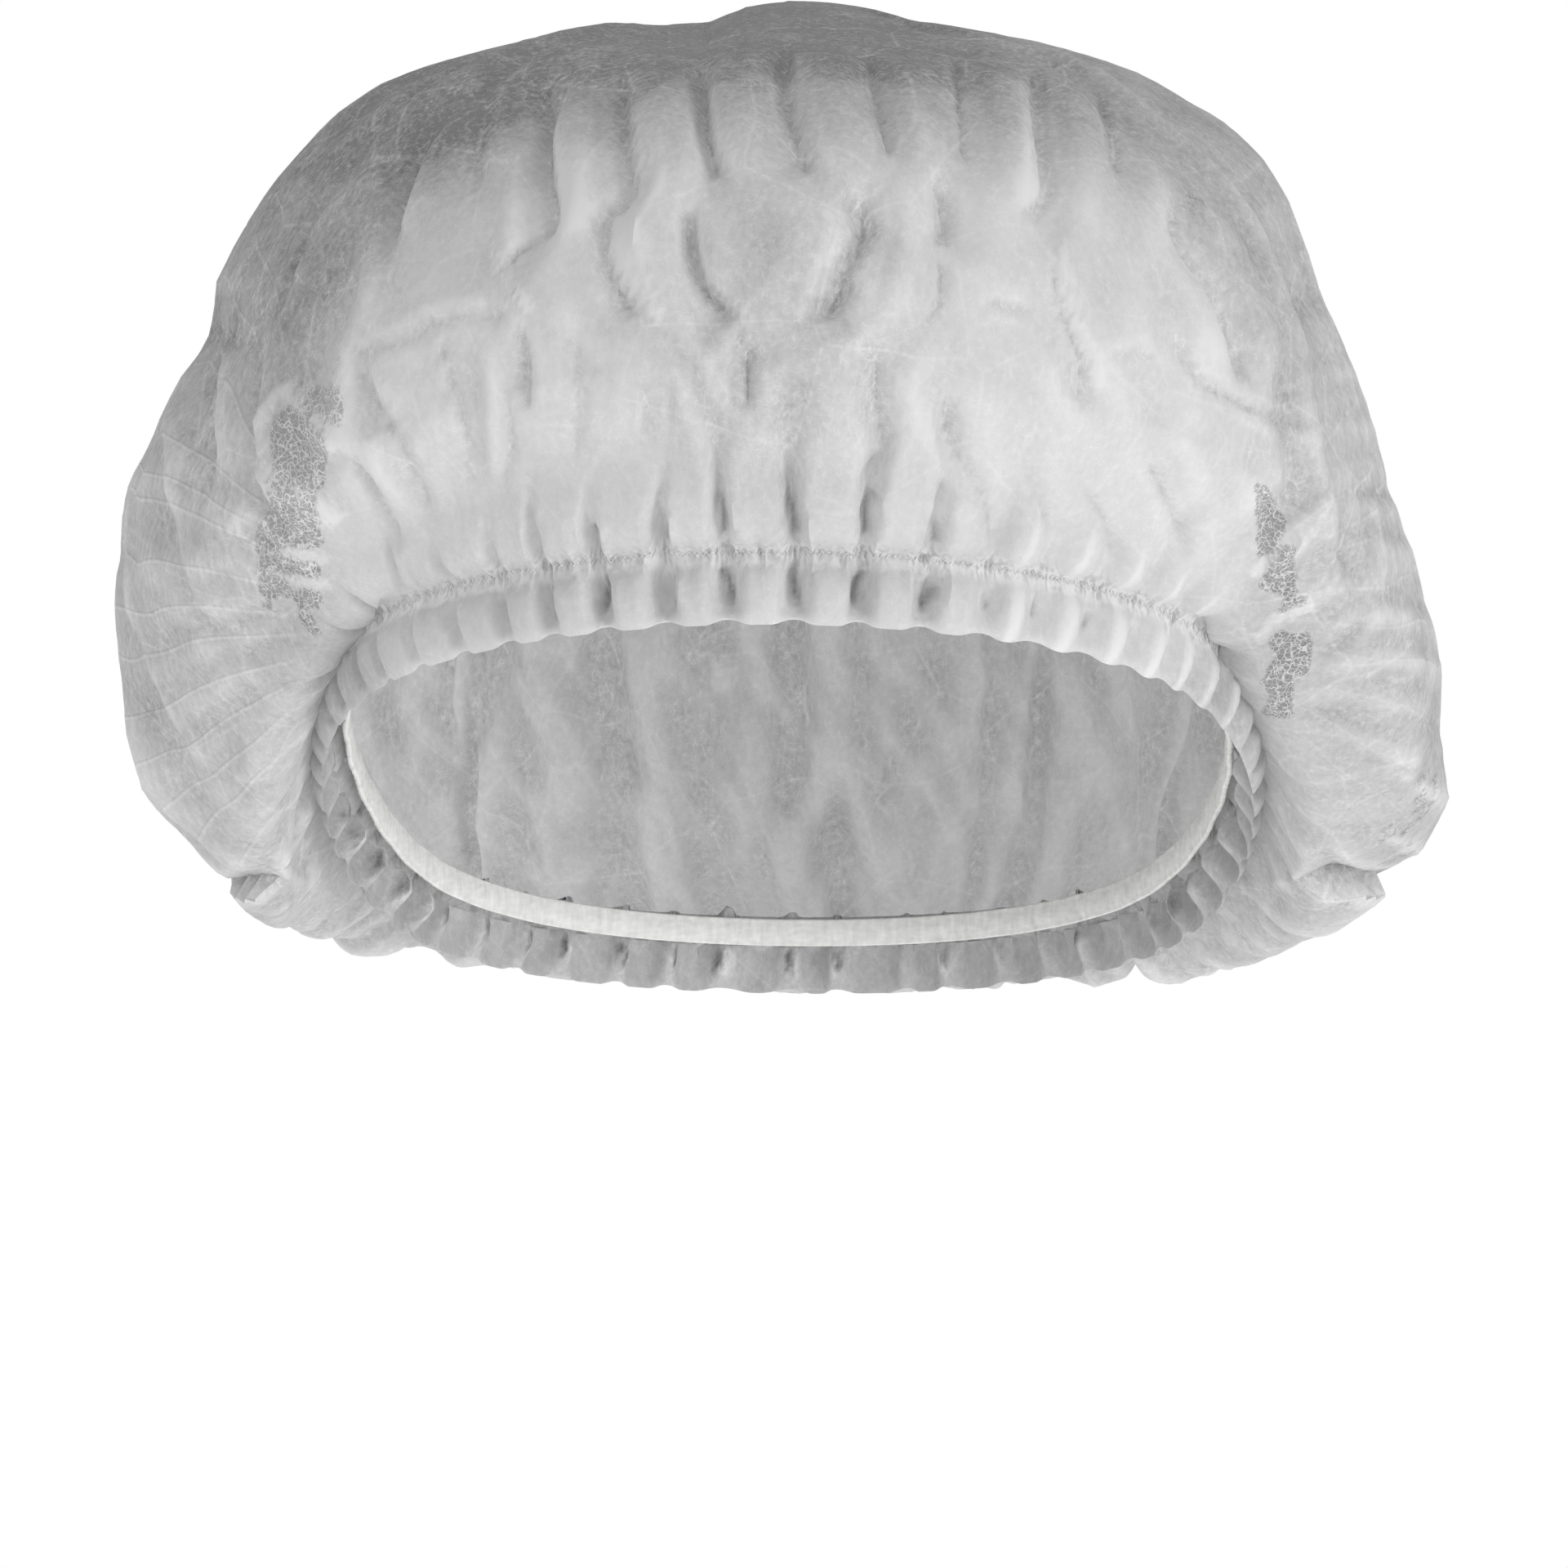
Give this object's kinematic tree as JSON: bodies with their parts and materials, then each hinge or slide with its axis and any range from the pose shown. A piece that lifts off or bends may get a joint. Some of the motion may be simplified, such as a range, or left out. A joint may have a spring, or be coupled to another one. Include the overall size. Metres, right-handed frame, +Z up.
{
  "type": "disposable beret cap",
  "caption": "Soft nonwoven bouffant cap as worn: a gathered cloth crown with a frilled hem, drawn in by a narrow elastic loop.",
  "frame": {"origin": "centre of the elastic loop, where the head goes in, with the cap in its worn form", "axes": "+Z up out of the crown, -Y the way the face looks, +X to the wearer's left"},
  "size_m": [0.2222, 0.2415, 0.173],
  "materials": {
    "nonwoven": "thin white spunbond nonwoven, matt, see-through in places",
    "elastic": "white covered elastic tape, matt"
  },
  "bodies": {
    "root": {"crown_cloth": "nonwoven", "elastic_band": "elastic"}
  },
  "joints": []
}
